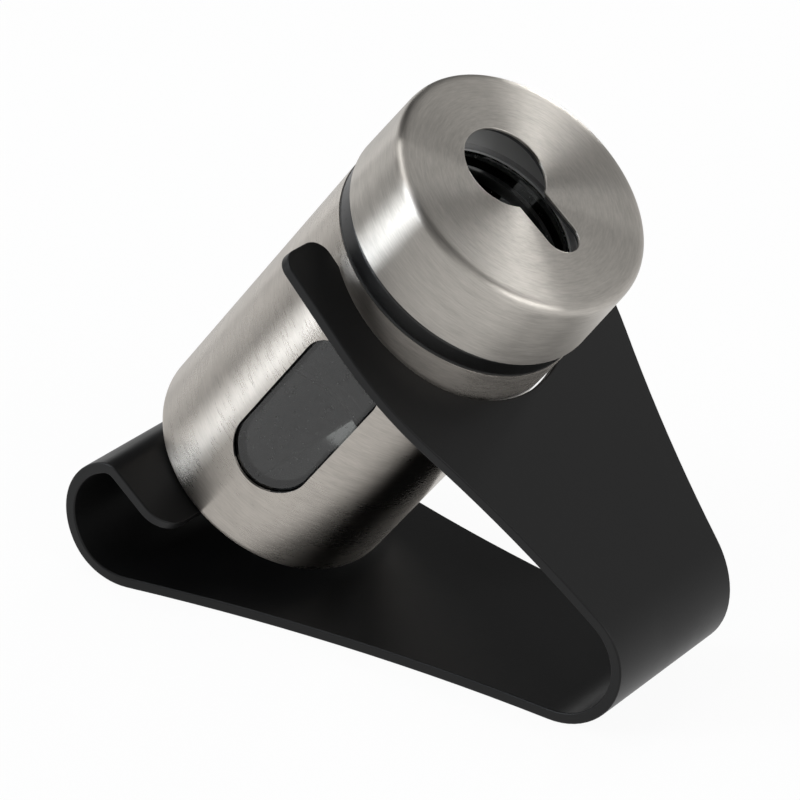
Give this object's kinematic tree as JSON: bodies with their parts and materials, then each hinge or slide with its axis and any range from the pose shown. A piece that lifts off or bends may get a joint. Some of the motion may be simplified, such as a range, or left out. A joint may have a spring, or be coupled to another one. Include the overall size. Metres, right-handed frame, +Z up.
{
  "type": "brush hydrator",
  "caption": "Glass jar in a brushed steel sleeve with a keyhole screw lid, leaning back in a bent black steel stand, for soaking paint brushes.",
  "frame": {"origin": "middle of the bounding box, on the plane that the stand rests on", "axes": "+X across the stand, +Y to the rear where the hook is, +Z up; the jar's axis lies in the YZ plane and leans forward"},
  "size_m": [0.0926, 0.156, 0.1433],
  "materials": {
    "black_coat": "matt",
    "sleeve_steel": "brushed round",
    "jar_glass": "gloss",
    "ring_rubber": "matt",
    "lid_steel": "brushed round",
    "liner_plastic": "satin",
    "seal_silicone": "satin"
  },
  "bodies": {
    "stand": {"stand": "black_coat"},
    "ring": {"neck_ring": "ring_rubber"},
    "jar": {"steel_sleeve": "sleeve_steel", "glass_jar": "jar_glass"},
    "seal": {"lid_seal": "seal_silicone"},
    "lid": {"lid_shell": "lid_steel", "lid_liner": "liner_plastic"}
  },
  "joints": [
    {"name": "jar_lift", "type": "slide", "parent": "stand", "child": "ring", "axis": [0, -0.5913, 0.8064], "range_m": [0, 0.1]},
    {"name": "jar_turn", "type": "hinge", "parent": "ring", "child": "jar", "pos_m": [0, 0.04607, 0.02412], "axis": [0, -0.5913, 0.8064], "continuous": true},
    {"name": "lid_lift", "type": "slide", "parent": "jar", "child": "seal", "axis": [0, -0.5913, 0.8064], "range_m": [0, 0.00641]},
    {"name": "lid_turn", "type": "hinge", "parent": "seal", "child": "lid", "pos_m": [0, -0.01365, 0.10557], "axis": [0, -0.5913, 0.8064], "range_deg": [0, 720]}
  ],
  "couplings": [
    {"joint": "lid_lift", "follows": "lid_turn", "m_per_rad": 0.0005093}
  ]
}
